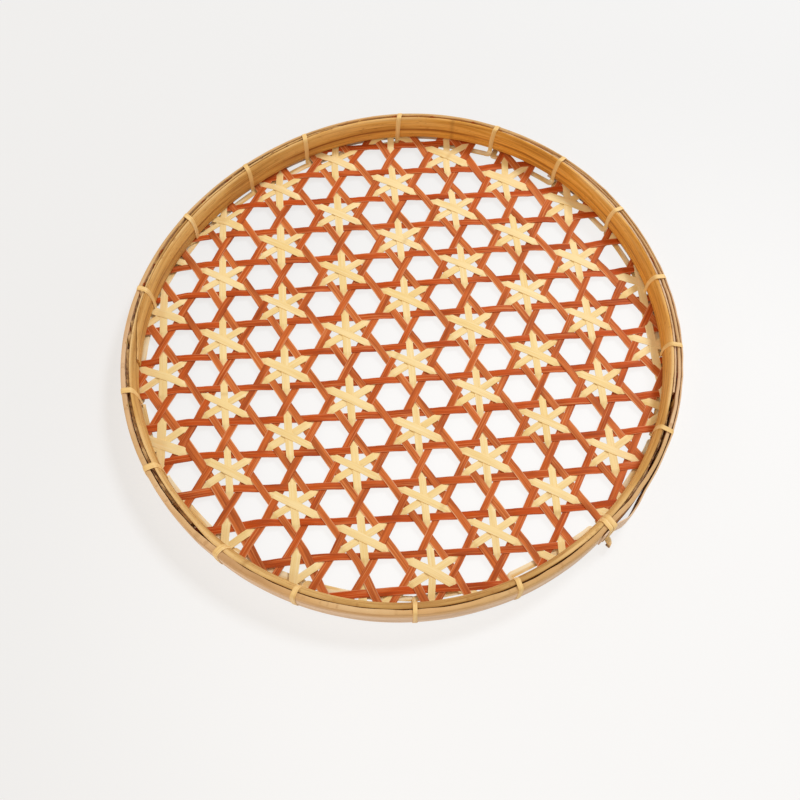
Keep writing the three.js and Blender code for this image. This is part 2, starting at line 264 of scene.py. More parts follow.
    gloss = addNode(tree, "ShaderNodeMapRange", {"To Min": look["rough"] + smoother, "To Max": look["rough"] + duller},
                    {"Value": fibre.outputs["Fac"]})
    bump = addNode(tree, "ShaderNodeBump", {"Strength": grain["bumpStrength"], "Distance": look["bump"] / 1000},
                   {"Height": fibre.outputs["Fac"]})
    tree.links.new(colour.outputs[mixColour], shader.inputs["Base Color"])
    tree.links.new(gloss.outputs["Result"], shader.inputs["Roughness"])
    tree.links.new(bump.outputs["Normal"], shader.inputs["Normal"])
    shader.inputs["IOR"].default_value = grain["ior"]
    shader.inputs["Specular IOR Level"].default_value = look["shine"]
    return material


redMaterial = splitBamboo(redDye)
naturalMaterial = splitBamboo(naturalPeel)
innerMaterial = splitBamboo(innerGold)
outerMaterial = splitBamboo(outerSkin)
fibreMaterial = splitBamboo(tornFibre)
lashMaterial = splitBamboo(lashPeel)
print("materials made")


# shared shapes

stockLayers = ("along", "across", "cutEdgeAndLight", "toneAndLight")   # what the bamboo materials read, in mm or from 0 to 1


def newStock(segments, rows):
    # a flat length of splint, one by one
    bm = bmesh.new()
    layers = {name: bm.verts.layers.float.new(name) for name in stockLayers}
    bmesh.ops.create_grid(bm, x_segments=segments, y_segments=rows, size=0.5)
    return bm, layers


def newBar(lengthCuts, depthCuts=1, widthCuts=3):
    # a straight bar along X, one by one by one, cut in rows along, through and across
    bm = bmesh.new()
    layers = {name: bm.verts.layers.float.new(name) for name in stockLayers}
    bmesh.ops.create_cube(bm, size=1.0)
    for axis, cuts in ((0, lengthCuts), (1, depthCuts), (2, widthCuts)):
        edges = [e for e in bm.edges if abs(e.verts[0].co[axis] - e.verts[1].co[axis]) > 1e-6]
        bmesh.ops.subdivide_edges(bm, edges=edges, cuts=cuts, use_grid_fill=True)
    return bm, layers


def finishPiece(bm, name, material, nodes, sharpAngle=40):
    bmesh.ops.scale(bm, vec=(0.001, 0.001, 0.001), verts=bm.verts)   # to metres
    bmesh.ops.recalc_face_normals(bm, faces=bm.faces)
    if bm.calc_volume(signed=True) < 0:   # a long thin strip can come out inside out
        bmesh.ops.reverse_faces(bm, faces=bm.faces)
    for face in bm.faces:
        face.smooth = True
    mesh = bpy.data.meshes.new(name)
    bm.to_mesh(mesh)
    bm.free()
    mesh.set_sharp_from_angle(angle=math.radians(sharpAngle))
    mesh.materials.append(material)
    piece = bpy.data.objects.new(name, mesh)
    bpy.context.scene.collection.objects.link(piece)
    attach(piece, "root")
    if nodes:
        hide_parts(*nodes)


# strips

weave = {
    "pitch": 23.0069,       # between parallel red strips
    "star": Vector((4.4, -11.0, 0.0)),   # middle of one star
    "matHeight": 3.224,     # middle of the mat above the floor
    "wallRadius": 164.593,  # a strip's edge stays inside this, so that the lashing has room
    "bendRadius": 172.5,    # here the ends turn up between the hoops
    "bendGive": 0.25,       # how far the ends lean out there
    "endRise": (13.0, 18.0),   # how far the ends stand up
    "pressFrom": 15.0, "pressTo": 7.0, "pressShare": 0.75,   # this far inside the bend the hoop holds the strips down
    "segment": 1.1,         # length of one row of faces
    "columns": (-0.5, -0.45, -0.39, 0.0, 0.39, 0.45, 0.5),   # across a strip
    "edgeColumn": 0.4,      # from here on it is cut edge
    "crownPower": 6,        # how late the edges round off
    "widthWander": 0.06, "widthEvery": 45.0, "strayEvery": 80.0, "rowStray": 0.5, "rowPlace": 1.7,
    "grainLength": 9000.0, "grainApart": 11.0,   # no two strips have the same fibres
    # the hand-woven mat is a little out of true: shifts in x and y for each power of x and y, at driftUnit
    "drift": {(0, 0): (0.77, -0.40), (0, 1): (-0.86, 3.45), (0, 2): (-0.25, 1.22), (0, 3): (-2.43, -4.64),
              (1, 0): (3.56, -1.31), (1, 1): (1.41, -0.60), (1, 2): (-8.21, -7.17), (2, 0): (-1.85, 1.38),
              (2, 1): (-4.26, -5.67), (3, 0): (-6.77, -1.33)},
    "driftUnit": 170, "driftReach": 150, "heldFrom": 145, "heldTo": 170, "heldShare": 0.85,
}
crossingStep = weave["pitch"] / math.sqrt(3)


def rowOffsets(first, spacing, frameWidth):
    limit = weave["wallRadius"] - frameWidth / 2
    row = math.ceil((-limit - first) / spacing)
    rows = []
    while first + row * spacing < limit:
        rows.append((row, first + row * spacing))
        row += 1
    return rows


def outOfTrue(point):
    # the drift dies away at the rim, where the hoops hold the strips
    reach = min(point.length, weave["driftReach"]) / max(point.length, 1)
    x, y = point.x * reach / weave["driftUnit"], point.y * reach / weave["driftUnit"]
    shift = Vector((0, 0, 0))
    for (i, j), (dx, dy) in weave["drift"].items():
        shift += Vector((dx, dy, 0)) * x ** i * y ** j
    return point + shift * (1 - weave["heldShare"] * ease(weave["heldFrom"], weave["heldTo"], point.length))


def layStrip(angle, offset, look, seed, heightAt):
    along, across = unit(angle), unit(angle + 90)
    width = look["width"] * (1 + look["widthSpread"] * random.uniform(-1, 1))
    toneAndLight = look["toneAndLight"] + look["toneSpread"] * random.uniform(-1, 1)
    reaches = []
    for end in (-1, 1):
        atRim = along * end * math.sqrt(weave["bendRadius"] ** 2 - offset ** 2) + across * offset
        reach = weave["bendRadius"] + rimShift(heading(atRim)) + random.uniform(*weave["endRise"])
        reaches.append(math.sqrt(reach ** 2 - offset ** 2))
    rows = len(weave["columns"]) - 1
    bm, layers = newStock(round(sum(reaches) / weave["segment"]), rows)
    grainStart = random.uniform(0, weave["grainLength"])
    rowShift = weave["rowStray"] * wander(seed + 0.2, weave["rowPlace"])
    for v in bm.verts:
        t = blendTo(-reaches[0], reaches[1], v.co.x + 0.5)
        column = weave["columns"][round((v.co.y + 0.5) * rows)]
        y = column * width * (1 + weave["widthWander"] * wander(seed + 0.5, t / weave["widthEvery"]))
        side = look["stray"] * (rowShift + wander(seed + 0.9, t / weave["strayEvery"]))
        side += look["nudge"] * (1 - (t / max(reaches)) ** 4)
        flat = outOfTrue(along * t + across * (offset + side + y))
        bend = weave["bendRadius"] + rimShift(heading(flat))
        pressed = 1 - weave["pressShare"] * ease(bend - weave["pressFrom"], bend - weave["pressTo"], flat.length)
        crown = look["crown"] * (2 * column) ** weave["crownPower"]
        z = heightAt(t, 2 * column) * pressed - crown + look["thickness"] / 2
        beyond = flat.length - bend
        if beyond > 0:
            flat *= (bend + weave["bendGive"] * math.tanh(beyond)) / flat.length
            z += beyond
        v[layers["along"]] = t + grainStart
        v[layers["across"]] = y + weave["grainApart"] * seed
        v[layers["cutEdgeAndLight"]] = look["cutEdgeAndLight"] if abs(column) > weave["edgeColumn"] else 0.0
        v[layers["toneAndLight"]] = toneAndLight
        v.co = flat + Vector((0, 0, weave["matHeight"] + z))
    bmesh.ops.solidify(bm, geom=bm.faces[:], thickness=look["thickness"])
    return bm


redLook = {
    "frameWidth": 4.1,                 # of the CAD strips, which decides how many rows there are
    "thickness": 0.5, "crown": 0.12, "stray": 0.35, "widthSpread": 0.07, "toneSpread": 0.15,
    "lift": 0.32, "steepness": 2.2,    # how far a strip goes over and under, and how suddenly
    "nudge": {"across_1": 1.6},        # this strip was pushed in from the near wall
}
# the tone by direction is painted sheen: across strips go to the deeper red and falling strips to orange, as each
# direction takes the light; the plainer cut edges of the falling strips are partly painted highlight
redDirections = {   # degrees, width, tone, how plainly the cut edges show
    "across": (0, 4.6, 0.9, 0.25), "rising": (60, 4.35, 0.55, 0.45), "falling": (120, 4.75, 0.15, 0.7),
}


def weaveRed():
    seed = 0
    for direction, (angle, width, toneAndLight, cutEdgeAndLight) in redDirections.items():
        first = weave["star"].dot(unit(angle + 90)) + weave["pitch"] / 2
        nextFirst = weave["star"].dot(unit(angle + 150)) + weave["pitch"] / 2
        for count, (row, offset) in enumerate(rowOffsets(first, weave["pitch"], redLook["frameWidth"]), 1):
            seed += 1
            nudge = redLook["nudge"].get(f"{direction}_{count}", 0.0)
            look = dict(redLook, width=width, toneAndLight=toneAndLight, cutEdgeAndLight=cutEdgeAndLight, nudge=nudge)
            overAt = (offset / 2 - nextFirst) / math.sin(math.radians(60))

            def heightAt(t, edge):
                wave = math.cos(math.pi * (t - overAt) / crossingStep)
                return look["lift"] * math.tanh(look["steepness"] * wave) / math.tanh(look["steepness"])

            bm = layStrip(angle, offset, look, seed, heightAt)
            name = f"red_{direction}_{count}"
            finishPiece(bm, f"redStrip{direction.title()}{count}", redMaterial, [name])


naturalLook = {
    "frameWidth": 3.641,
    "thickness": 0.42, "crown": 0.08, "stray": 0.3, "widthSpread": 0.09,
    "toneAndLight": 0.5, "toneSpread": 0.5, "cutEdgeAndLight": 1.0, "nudge": 0.0,
    "tuckedBelow": -165.0,   # where a star would lie under the near wall, the strip stays under the red
    "overHeight": 0.62, "underHeight": -0.85,   # over the red edge of a hexagon, under a red crossing
    # these go by the distance from the star's middle, and the edges of a strip go down first
    "slopeFrom": 1.5, "slopeTo": 10.0, "diveFrom": 13.2, "diveTo": 19.2, "edgeLead": 3.0, "leadFull": 15.2,
}
naturalDirections = {   # degrees, width, height at a star
    "low": (30, 4.6, 0.4), "middle": (90, 4.7, 0.86), "top": (150, 5.0, 1.32),
}
besideWall = {"name": "naturalStripWall", "offset": -162.4, "row": -4}   # lies along the right wall, inside the ties


def overAndUnder(angle, offset, row, starHeight):
    starPitch = 2 * weave["pitch"]
    starAt = weave["star"].dot(unit(angle)) + row * weave["pitch"]

    def heightAt(t, edge):
        count = round((t - starAt) / starPitch)
        d = abs(t - starAt - count * starPitch)
        star = unit(angle) * (starAt + count * starPitch) + unit(angle + 90) * offset
        if star.y < naturalLook["tuckedBelow"]:
            return naturalLook["underHeight"]
        slope = ease(naturalLook["slopeFrom"], naturalLook["slopeTo"], d)
        z = blendTo(starHeight, naturalLook["overHeight"], slope)
        ahead = naturalLook["edgeLead"] * edge * edge * ease(naturalLook["diveFrom"], naturalLook["leadFull"], d)
        dive = ease(naturalLook["diveFrom"], naturalLook["diveTo"], d + ahead)
        return blendTo(z, naturalLook["underHeight"], dive)

    return heightAt


def weaveNatural():
    seed = 100
    for direction, (angle, width, starHeight) in naturalDirections.items():
        look = dict(naturalLook, width=width)
        first = weave["star"].dot(unit(angle + 90))
        rows = rowOffsets(first, weave["pitch"] * math.sqrt(3), naturalLook["frameWidth"])
        for count, (row, offset) in enumerate(rows, 1):
            seed += 1
            bm = layStrip(angle, offset, look, seed, overAndUnder(angle, offset, row, starHeight))
            node = f"natural_top_{count}" if direction == "top" else "natural_net"
            finishPiece(bm, f"naturalStrip{direction.title()}{count}", naturalMaterial, [node])
    angle, width, starHeight = naturalDirections["middle"]
    heightAt = overAndUnder(angle, besideWall["offset"], besideWall["row"], starHeight)
    bm = layStrip(angle, besideWall["offset"], dict(naturalLook, width=width), seed + 1, heightAt)
    finishPiece(bm, besideWall["name"], naturalMaterial, [])


random.seed(12)
weaveRed()
weaveNatural()
print("strips woven")


# Hoops: half-round bands, flat against each other. Tables go by degrees round the rim, and the rest by degrees of
# winding, which starts at startAngle and goes clockwise. A share of the height goes from -1 at the foot to 1 at
# the top.

innerHoop = {
    "name": "innerHoop", "node": "inner_hoop", "seed": 31, "faceRadius": 166.7, "faceSide": -1,
    "foot": 4.2, "top": 22.0, "startAngle": 183.75, "lap": 82.5, "trim": 3.3, "tail": 0.0,
    "thick": {0: 4.0, 45: 3.9, 90: 4.2, 112: 4.1, 130: 4.3, 150: 4.7, 172: 3.8, 200: 3.5, 213: 3.4, 219: 3.8,
              228: 5.2, 250: 5.0, 280: 5.1, 298: 4.6, 310: 4.6, 320: 4.1, 335: 3.9},
    "shift": {0: 0.1, 30: 0.3, 48: 1.0, 90: 0.9, 108: 0.9, 130: 0.1, 180: -0.1, 270: 0.4, 315: 0.0},
    "rise": {0: 0.0, 90: 0.1, 180: 0.0, 270: -0.1},
    # the tone round the rim is partly painted light: the bright base stays on the right and far walls, which face away
    # from the lamps, and gives way to the duller other colour on the near side, whose top the light reaches; the rest
    # is the cane's own change of colour
    "toneAndLight": {0: 0.1, 60: 0.0, 90: 0.25, 120: 0.6, 150: 0.6, 185: 0.8, 225: 1.0, 300: 1.0, 335: 0.6},
    "topThin": 0.68, "lapTopThin": 0.55, "footThin": 0.20, "groove": 0.35, "grooveAt": -0.25,
    "tipShare": 0.32, "crack": 0.6, "endCut": 42.0, "endDrop": 0.5, "lip": 0.0, "ragged": 0.15,
    "litUpperFace": (0.0, 0.85), "paleShare": 0.35, "edge": (0.92, 1.0), "skinEnd": (352, 362),
}
outerHoop = {
    "name": "outerHoop", "node": "outer_hoop", "seed": 47, "faceRadius": 173.2, "faceSide": 1,
    "foot": 0.8, "top": 22.0, "startAngle": 48.75, "lap": 97.5, "trim": 0.0, "tail": 3.8,
    "thick": {0: 2.8, 60: 2.5, 95: 2.1, 130: 2.0, 150: 2.4, 172: 3.3, 200: 3.6, 213: 3.5, 228: 3.9, 245: 3.6,
              290: 3.6, 310: 3.4, 322: 2.9},
    "shift": {0: 0.0, 60: 0.0, 95: 0.4, 130: 0.5, 150: 0.2, 172: -0.4, 205: -0.4, 215: -0.3, 222: -0.5, 228: -1.0,
              236: -0.7, 245: -0.6, 290: -0.6, 300: -0.9, 310: -1.5, 318: -0.7, 326: 0.0},
    "rise": {0: -0.1, 60: -0.3, 90: -0.4, 135: -0.3, 180: -0.1, 270: -0.1},
    # the paler tone from 330 to 45 degrees is painted light, lifting the shade of the cracks in the lap there
    "toneAndLight": {0: 0.5, 45: 0.3, 70: 0.0, 140: 0.1, 185: 0.5, 225: 0.2, 250: 0.0, 300: 0.0, 330: 0.5},
    "topThin": 0.22, "lapTopThin": 0.05, "footThin": 0.10, "groove": 0.0, "grooveAt": 0.0,
    "tipShare": 0.38, "crack": 0.45, "endCut": 25.0, "endDrop": 0.05, "lip": 4.2, "ragged": 0.4,
    "edge": (0.86, 1.0), "endEdge": 0.75, "endFade": (430, 410), "skinAndShadingHeight": (19.5, 13.0), "skinEnd": (428, 446),
    "flare": 2.7, "flareAt": -46.2, "flareWidth": (2.0, 5.5),   # the end springs off before its tie
}
hoopWork = {   # shared by both
    "cuts": (560, 3, 15), "sharpAngle": 55,
    "roundPower": 2.1, "grooveWidth": 0.12, "leastThick": 0.9, "cornerRound": 0.35,
    "lapFrom": 346, "lapOn": 360, "lapFull": 362,   # here the second end moves over the first
    "fadeBefore": 14, "fadeAfter": 4, "closeBefore": 10,   # round the end of the lap
    "crackFoot": 0.06, "crackFrom": -0.3,   # the crack in the lap opens from this share of the height
    "waver": 0.08, "waverEvery": 7, "tornEvery": 3.3, "tornFrom": 0.2,
    "topBelow": 0.3, "topWaver": 0.25, "footAbove": 0.15, "footWaver": 0.12, "heightEvery": 21,
    "topRough": 0.12, "roughEvery": 2.5, "lipFrom": -0.84, "lipUntil": 340, "grainApart": 1000,
}


def hoopWall(hoop, turned, z):
    # inner and outer radius of the band at one height, after so many degrees of winding
    angle = hoop["startAngle"] - turned
    up = min(max(2 * (z - hoop["foot"]) / (hoop["top"] - hoop["foot"]) - 1, -1), 1)
    lapFrom, lapOn = hoopWork["lapFrom"], hoopWork["lapOn"]
    lapEnd = hoop["lap"] + hoop["tail"]
    if turned < 180:   # on the first end
        lapped = 1 - ease(lapEnd - hoopWork["fadeBefore"], lapEnd + hoopWork["fadeAfter"], turned)
    else:
        lapped = ease(lapFrom, hoopWork["lapFull"], turned)
    topThin = blendTo(hoop["topThin"], hoop["lapTopThin"], lapped)
    fullThick = aroundRim(hoop["thick"], angle)
    thick = fullThick * (1 - (topThin if up > 0 else hoop["footThin"]) * abs(up) ** hoopWork["roundPower"])
    thick -= hoop["groove"] * math.exp(-((up - hoop["grooveAt"]) / hoopWork["grooveWidth"]) ** 2)
    radius = hoop["faceRadius"] + rimShift(angle) + aroundRim(hoop["shift"], angle)
    radius += hoopWork["waver"] * wander(hoop["seed"] + 3, turned / hoopWork["waverEvery"])
    # the sides that meet are rough
    torn = hoop["ragged"] * wander(hoop["seed"] + 5, turned / hoopWork["tornEvery"])
    torn *= ease(hoopWork["tornFrom"], 1.0, up)
    inner = radius + fullThick - thick if hoop["faceSide"] < 0 else radius + torn
    outer = radius + fullThick + torn if hoop["faceSide"] < 0 else radius + thick
    # in the lap the two ends share the thickness, and the crack between them opens towards the top
    growth = hoop["tipShare"] + (1 - hoop["tipShare"]) * min(turned % 360, lapEnd) / lapEnd
    crack = hoopWork["crackFoot"] + hoop["crack"] / 2 * ease(hoopWork["crackFrom"], 1.0, up)
    if turned < lapEnd:
        outer = inner + thick * growth - crack * (1 - ease(lapEnd - hoopWork["closeBefore"], lapEnd, turned))
    if turned > lapFrom:
        taken = blendTo(0.0, hoop["tipShare"], ease(lapFrom, lapOn, turned)) if turned < lapOn else growth
        inner += thick * taken + crack * ease(lapFrom, lapOn, turned)
    if "flare" in hoop and turned > lapOn:
        past = angle + 360 - hoop["flareAt"]
        before, after = hoop["flareWidth"]
        flare = hoop["flare"] * math.exp(-(past / (before if past < 0 else after)) ** 2)
        inner, outer = inner + flare, outer + flare
    return inner, max(outer, inner + hoopWork["leastThick"])


def bendHoop(hoop, material):
    # the band winds on clockwise, and its two ends lie on each other in the lap
    total = 360 + hoop["lap"] + hoop["tail"]
    bm, layers = newBar(*hoopWork["cuts"])
    for v in bm.verts:
        turned = blendTo(hoop["trim"], total, v.co.x + 0.5)
        through, up = v.co.y + 0.5, v.co.z * 2
        angle = hoop["startAngle"] - turned
        length = math.radians(turned) * hoop["faceRadius"]
        top = hoop["top"] - hoopWork["topBelow"] + aroundRim(hoop["rise"], angle)
        top += hoopWork["topWaver"] * wander(hoop["seed"] + 1, turned / hoopWork["heightEvery"])
        top += hoopWork["topRough"] * wander(hoop["seed"] + 1, turned / hoopWork["roughEvery"])
        foot = hoop["foot"] + hoopWork["footAbove"]
        foot += hoopWork["footWaver"] * wander(hoop["seed"] + 2, turned / hoopWork["heightEvery"])
        top -= (1 - ease(0, hoop["endCut"], length)) * hoop["endDrop"] * (top - foot)
        z = blendTo(foot, top, (up + 1) / 2)
        inner, outer = hoopWall(hoop, turned, z)
        if turned < hoopWork["lipUntil"]:
            inner -= hoop["lip"] * ease(hoopWork["lipFrom"], -1.0, up)
        radius = blendTo(inner, outer, through)
        # the corners of the section are rounded
        z -= math.copysign(hoopWork["cornerRound"] * (2 * through - 1) ** 4, up) * abs(up) ** 8
        cutEdgeAndLight, skinAndShading = ease(*hoop["edge"], up), ease(*hoop["skinEnd"], turned)
        if hoop["faceSide"] > 0:
            cutEdgeAndLight *= blendTo(hoop["endEdge"], 1.0, ease(*hoop["endFade"], turned))
            # low on the outer face the colour goes to the pale other colour: partly the skin, partly painted shading of
            # the rounded belly
            skinAndShading = max(ease(*hoop["skinAndShadingHeight"], z), skinAndShading)
        else:
            # the inner face is painted paler towards its top: painted light, where the rounded face turns up to the
            # light
            cutEdgeAndLight = blendTo(cutEdgeAndLight, ease(*hoop["litUpperFace"], up), hoop["paleShare"])
        v[layers["along"]] = length + hoopWork["grainApart"] * hoop["seed"]
        v[layers["across"]] = z
        v[layers["cutEdgeAndLight"]] = cutEdgeAndLight
        v[layers["toneAndLight"]] = max(skinAndShading, aroundRim(hoop["toneAndLight"], angle))
        v.co = unit(angle) * radius + Vector((0, 0, z))
    finishPiece(bm, hoop["name"], material, [hoop["node"]], hoopWork["sharpAngle"])


# what fills the gap between the hoops: a thin splint on the right, torn fibre on the left, far and near side
packing = (
    {"name": "packingSplint", "from": 62.0, "to": -18.0, "inside": 171.2, "outside": 172.2, "foot": 14.0,
     "top": 21.2, "ragged": 0.3, "material": outerMaterial},
    {"name": "tornFibreLeft", "from": 221.0, "to": 146.0, "inside": 170.6, "outside": 172.2, "foot": 13.0,
     "top": 19.4, "ragged": 3.2, "material": fibreMaterial},
    {"name": "tornFibreFar", "from": 138.0, "to": 90.0, "inside": 171.6, "outside": 172.3, "foot": 13.0,
     "top": 20.8, "ragged": 2.0, "material": fibreMaterial},
    {"name": "tornFibreNear", "from": -22.0, "to": -58.0, "inside": 171.1, "outside": 171.8, "foot": 12.0,
     "top": 18.8, "ragged": 3.4, "material": fibreMaterial},
)
tearing = {   # shared by all four, in degrees and mm
    "seed": 83, "stepsPerDegree": 3, "fineEvery": 1.3, "coarseEvery": 7, "coarseShare": 0.6,
    "waver": 0.1, "waverEvery": 13, "toneEvery": 5, "edgeFrom": 0.3, "grainStart": 40,
}


def packGap(splint):
    seed = tearing["seed"]
    steps = round(abs(splint["from"] - splint["to"]) * tearing["stepsPerDegree"])
    bm, layers = newBar(steps)
    for v in bm.verts:
        angle = blendTo(splint["from"], splint["to"], v.co.x + 0.5)
        torn = wander(seed, angle / tearing["fineEvery"])
        torn += tearing["coarseShare"] * wander(seed + 2, angle / tearing["coarseEvery"])
        z = blendTo(splint["foot"], splint["top"] + splint["ragged"] * torn, v.co.z + 0.5)
        radius = blendTo(splint["inside"], splint["outside"], v.co.y + 0.5) + rimShift(angle)
        radius += tearing["waver"] * wander(seed + 1, angle / tearing["waverEvery"])
        v[layers["along"]] = math.radians(-angle) * radius
        v[layers["across"]] = z + tearing["grainStart"]
        v[layers["cutEdgeAndLight"]] = ease(tearing["edgeFrom"], 0.5, v.co.z)
        v[layers["toneAndLight"]] = 0.5 + 0.5 * wander(seed + 3, angle / tearing["toneEvery"])
        v.co = unit(angle) * radius + Vector((0, 0, z))
    finishPiece(bm, splint["name"], splint["material"], [], hoopWork["sharpAngle"])


bendHoop(innerHoop, innerMaterial)
bendHoop(outerHoop, outerMaterial)
for splint in packing:
    packGap(splint)
print("hoops bent")


# lashing: one strand of peel, wound clockwise from the near right, with its tail left out beside the last turn

lashing = {
    "turns": (-50.0, -71.3, -91.6, -114.1, -130.6, -153.1, -170.8, -194.9, -215.4, -234.1, -250.0, -273.1,
              -296.0, -313.0, -331.0, -350.0, -366.5, -386.0, -409.0),
    "width": {0: 2.9, 45: 2.9, 90: 3.0, 135: 3.0, 180: 3.3, 225: 3.8, 248: 3.2, 268: 2.5, 288: 3.0, 308: 2.9},
    "lean": {0: 3.2, 225: 3.2, 250: 1.6, 268: 0.4, 288: 1.6, 308: 3.2},   # how far a turn leans on, clockwise
    "run": {0: 167.5, 30: 165.3, 60: 165.0, 85: 165.3, 105: 164.8, 118: 163.8, 130: 166.5, 160: 168.0, 200: 168.0,
            225: 166.0, 250: 162.2, 290: 162.2, 312: 165.5, 335: 167.5},   # radius below the mat
    "thickness": 0.6, "edgeThin": 0.55, "sharpAngle": 60, "clear": 0.3, "endMargin": 0.5,
    "low": 0.31, "high": 22.3, "runHeight": 1.5, "corner": 4.0,
    "footHeight": 2.2, "footShare": 0.6,   # where it leaves the run for the wall
    "upInside": ((6.0, 0.0), (13.0, 0.1), (19.0, 0.25)),       # heights, and how much of the lean is done there
    "downOutside": ((18.5, 0.8), (11.0, 0.95), (4.0, 1.0)),
    "brow": 21.6, "browRound": 0.4, "browLean": (0.35, 0.65), "gapRadius": 171.6, "crest": 0.05, "slump": 0.15,
    "underHoop": 1.5, "underRound": 0.2, "underRun": 1.5,   # back in under the hoops
    # the tail's knots: out, on, up, and the side out and on
    "tail": ((179.8, 6.2, 5.6, 1, 0), (179.6, 4.2, 3.6, 1, 0), (178.4, 2.0, 1.2, 1, -1), (175.8, 0.3, 0.35, 0, -1)),
    "tailTakes": 3, "tucked": 2,   # knots that give way to the tail, and that the last end stops short of
    "seed": 61, "widthWander": 0.06, "widthEvery": 9.0, "runBelow": (3.0, 1.8), "runSpread": 0.3, "shadowedTip": (1.0, 3.5),
}


def strandKnot(angle, knot, sign):
    # place and sideways direction of the strand, from distances out, on (clockwise) and up, and a side out and on
    far, clockwise, up, sideOut, sideOn = knot
    out, on = unit(angle), unit(angle - 90)
    return out * far + on * clockwise + Vector((0, 0, up)), (out * sideOut + on * sideOn).normalized() * sign


def turnPath(angle, sign):
    low, high, lean = lashing["low"], lashing["high"], aroundRim(lashing["lean"], angle)
    run, runHeight = aroundRim(lashing["run"], angle) + rimShift(angle), lashing["runHeight"]
    brow, corner = lashing["brow"], lashing["corner"]

    def inside(z):
        return hoopWall(innerHoop, (innerHoop["startAngle"] - angle) % 360, z)[0] - lashing["clear"]

    def outside(z):
        turned = (outerHoop["startAngle"] - angle) % 360
        lapped = turned < outerHoop["lap"] + outerHoop["tail"] - lashing["endMargin"]   # the second end lies outside
        return hoopWall(outerHoop, turned + (360 if lapped else 0), z)[1] + lashing["clear"]

    foot = inside(lashing["upInside"][0][0])
    browIn, browOut = lashing["browLean"]
    knots = [(run, -corner, runHeight, 1, 0), (run, 0.0, runHeight, 1, -1),
             (blendTo(run, foot, lashing["footShare"]), 0.0, runHeight, 0, -1),
             (foot, 0.0, lashing["footHeight"], 0, -1)]
    knots += [(inside(z), done * lean, z, 0, -1) for z, done in lashing["upInside"]]
    knots += [(inside(brow) + lashing["browRound"], browIn * lean, high, 0, -1),
              (lashing["gapRadius"] + rimShift(angle), 0.5 * lean, high + lashing["crest"], 0, -1),
              (outside(brow) - lashing["browRound"], browOut * lean, high - lashing["slump"], 0, -1)]
    knots += [(outside(z), done * lean, z, 0, -1) for z, done in lashing["downOutside"]]
    knots += [(outside(lashing["underHoop"]) - lashing["underRound"], lean, low, 0, -1),
              (run + lashing["underRun"], lean, low, 0, -1), (run, lean, low, -1, -1),
              (run, lean + corner, runHeight, -1, 0)]
    return [strandKnot(angle, knot, sign) for knot in knots]


def cutCorners(path):
    # each corner becomes two places, which rounds the strand's bends
    smooth = [path[0]]
    for (a, sideA), (b, sideB) in zip(path, path[1:]):
        smooth.append((a.lerp(b, 0.25), sideA.lerp(sideB, 0.25)))
        smooth.append((a.lerp(b, 0.75), sideA.lerp(sideB, 0.75)))
    return smooth + [path[-1]]


def windLashing():
    turns = lashing["turns"]
    path = []
    for count, angle in enumerate(turns):
        sign = 1 if count % 2 == 0 else -1
        path += turnPath(angle, sign)
        if angle != turns[-1]:
            # between two turns the strand keeps along the wall
            halfway = (angle + turns[count + 1]) / 2
            far = aroundRim(lashing["run"], halfway) + rimShift(halfway)
            path.append(strandKnot(halfway, (far, 0.0, lashing["runHeight"], -1, 0), sign))
    tail = [strandKnot(turns[0], knot, 1) for knot in lashing["tail"]]
    path = tail + path[lashing["tailTakes"]:-lashing["tucked"]]
    path = cutCorners(cutCorners(path))
    bm, layers = newBar(len(path) - 2)
    lengths = [0.0]
    for (a, sideA), (b, sideB) in zip(path, path[1:]):
        lengths.append(lengths[-1] + (b - a).length)
    for v in bm.verts:
        place = round((v.co.x + 0.5) * (len(path) - 1))
        point, side = path[place]
        before, after = path[max(place - 1, 0)][0], path[min(place + 1, len(path) - 1)][0]
        forward = (after - before).normalized()
        side = (side - forward * side.dot(forward)).normalized()
        face = forward.cross(side)
        below = ease(*lashing["runBelow"], point.z)
        spread = lashing["widthWander"] * wander(lashing["seed"], lengths[place] / lashing["widthEvery"])
        across = v.co.z * aroundRim(lashing["width"], heading(point)) * (1 + spread + lashing["runSpread"] * below)
        through = v.co.y * lashing["thickness"] * (1 - lashing["edgeThin"] * abs(2 * v.co.z) ** 3)
        v[layers["along"]] = lengths[place]
        v[layers["across"]] = across + through
        # the runs below the mat are pale: partly the flesh side, partly painted light that lifts the shade under the
        # mat
        v[layers["cutEdgeAndLight"]] = below   # the runs below the mat show the paler flesh side
        # painted shadow: the cut tail's last few mm go dark where its curled end throws shade
        v[layers["toneAndLight"]] = 1 - ease(*lashing["shadowedTip"], lengths[place])   # the cut tail is dark
        v.co = point + side * across + face * through
    finishPiece(bm, "rimLashing", lashMaterial, ["rim_lashing"], lashing["sharpAngle"])


windLashing()
print("lashing wound")


# floor, light and camera

